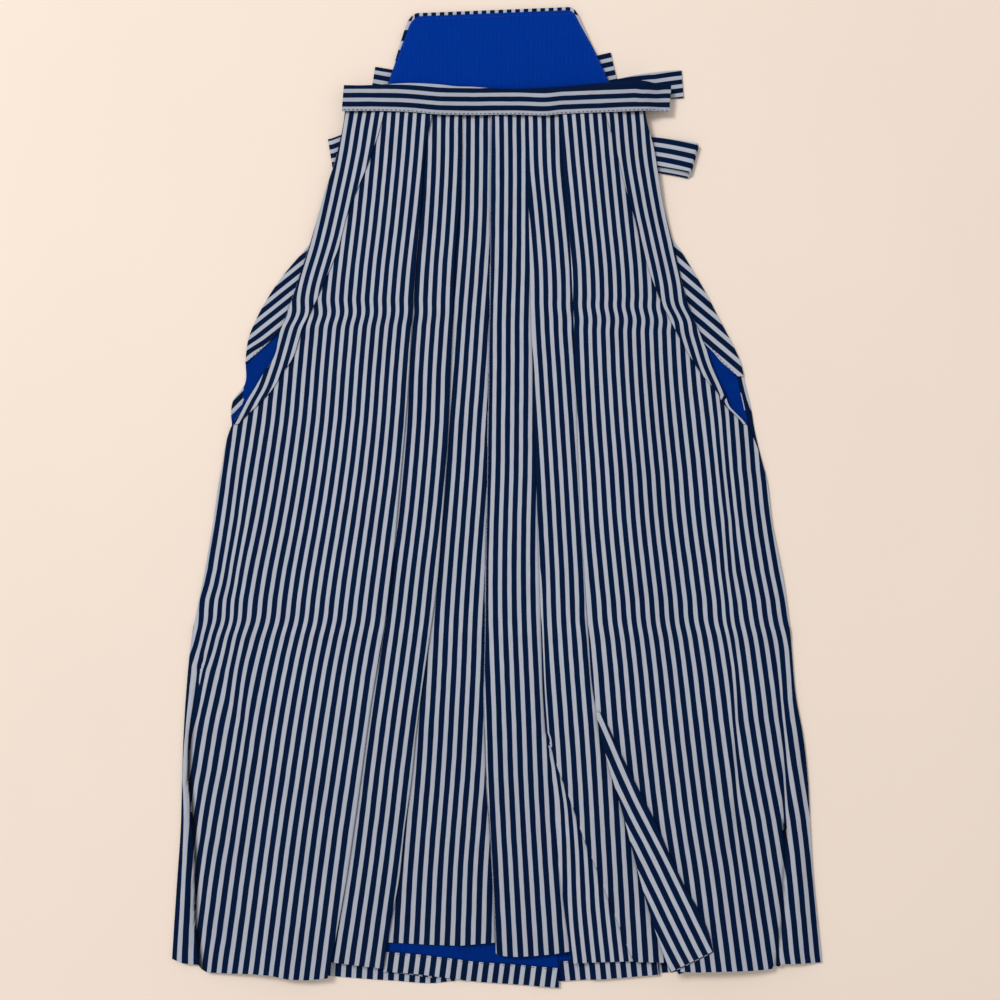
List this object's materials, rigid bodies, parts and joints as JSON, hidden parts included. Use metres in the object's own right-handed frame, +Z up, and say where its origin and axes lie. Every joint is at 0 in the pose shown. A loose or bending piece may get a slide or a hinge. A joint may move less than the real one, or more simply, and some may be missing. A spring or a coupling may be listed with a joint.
{
  "type": "hakama trousers laid flat",
  "caption": "Striped, pleated wide trousers laid flat front up, with waistband, stiff back plate, side openings and strap loops.",
  "frame": {"origin": "middle of the laid-out garment's outline, on the floor it lies on", "axes": "+Y up the garment from hem to back plate, +X to the right as seen from above (the wearer's left), +Z up from the floor, out of the front"},
  "size_m": [0.6502, 0.981, 0.0183],
  "materials": {
    "striped_cloth": "plain-woven polyester, navy and pale grey stripes, low sheen",
    "back_cloth": "the same striped cloth seen with its royal blue reverse upwards",
    "plate_cover": "striped cloth drawn over a stiff board",
    "blue_lining": "royal blue cloth with a faint ribbed sheen",
    "strap_cloth": "striped cloth folded lengthwise into flat straps"
  },
  "bodies": {
    "root": {"front_left_panel": "striped_cloth", "front_right_panel": "striped_cloth", "front_right_inner_pleat": "striped_cloth", "front_right_sprung_pleat": "striped_cloth", "front_left_side_fold": "striped_cloth", "front_right_side_fold": "striped_cloth", "back_left_panel": "back_cloth", "back_right_panel": "back_cloth", "back_left_hem": "striped_cloth", "back_right_hem": "striped_cloth", "back_left_side_fold": "striped_cloth", "back_right_side_fold": "striped_cloth", "back_plate": "plate_cover", "back_plate_lining": "blue_lining", "front_waistband": "strap_cloth", "strap_behind_plate": "strap_cloth", "strap_right_upper": "strap_cloth", "strap_left_loop": "strap_cloth", "strap_right_loop": "strap_cloth"}
  },
  "joints": []
}
